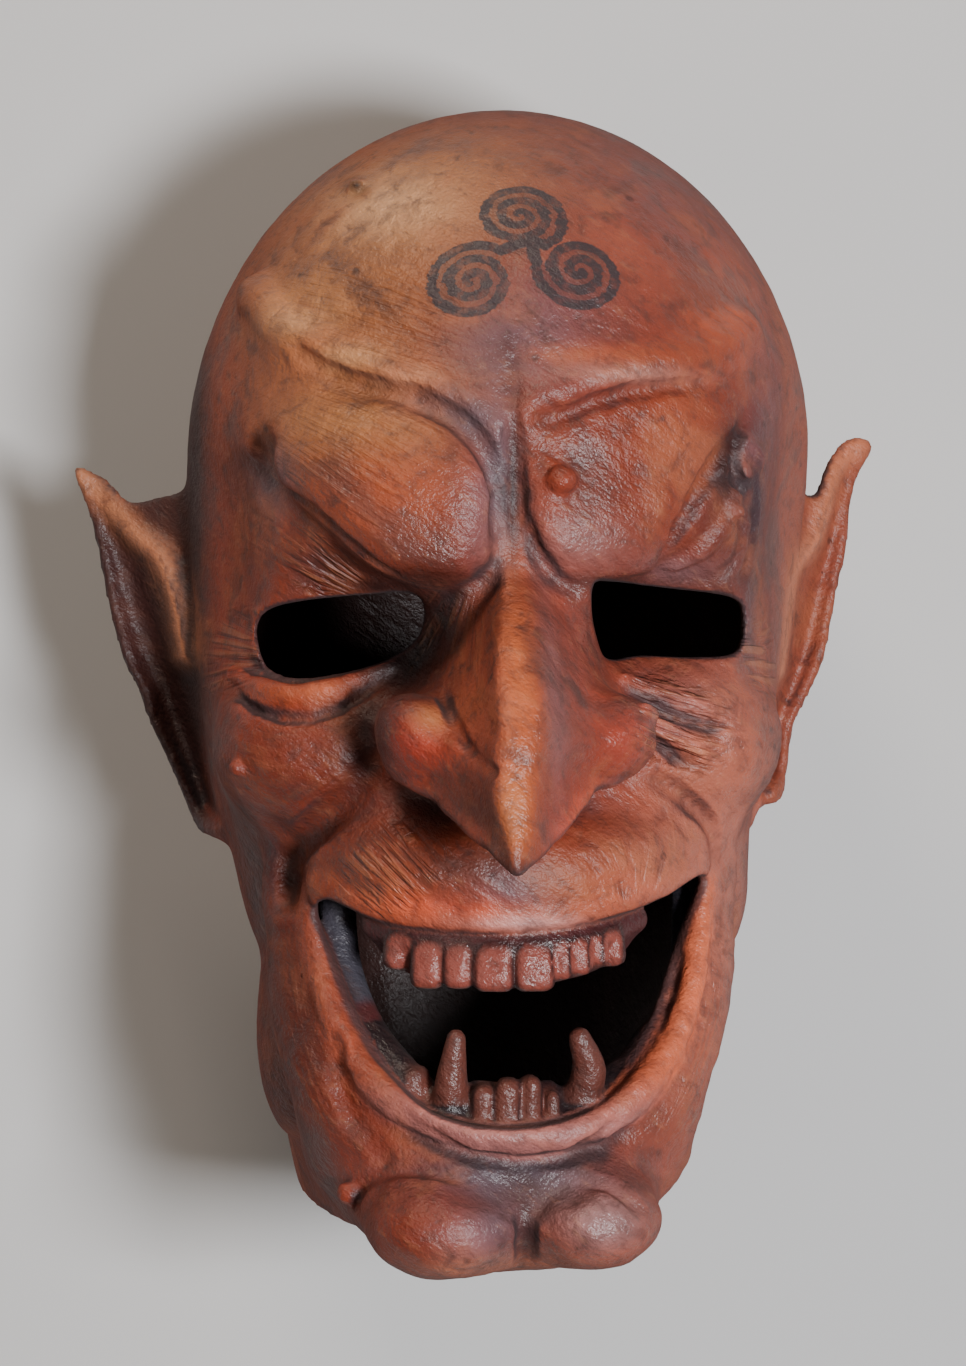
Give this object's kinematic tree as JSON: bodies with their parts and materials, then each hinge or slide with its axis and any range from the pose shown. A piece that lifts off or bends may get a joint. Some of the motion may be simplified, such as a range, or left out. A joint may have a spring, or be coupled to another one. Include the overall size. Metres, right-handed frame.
{
  "type": "orc mask",
  "caption": "Full-head moulded latex mask of a bald orc with pointed ears, a hooked nose, a wide toothed grin and open eyes and neck.",
  "frame": {"origin": "under the middle of the mask's box, on the floor that the back of the head rests on", "axes": "+X to the viewer's right, +Y up the head to the crown, +Z out of the face"},
  "size_m": [0.2336, 0.3196, 0.2562],
  "materials": {
    "latex": "painted, semi-gloss, with dark wash in the folds"
  },
  "bodies": {
    "root": {"orc_mask": "latex"}
  },
  "joints": []
}
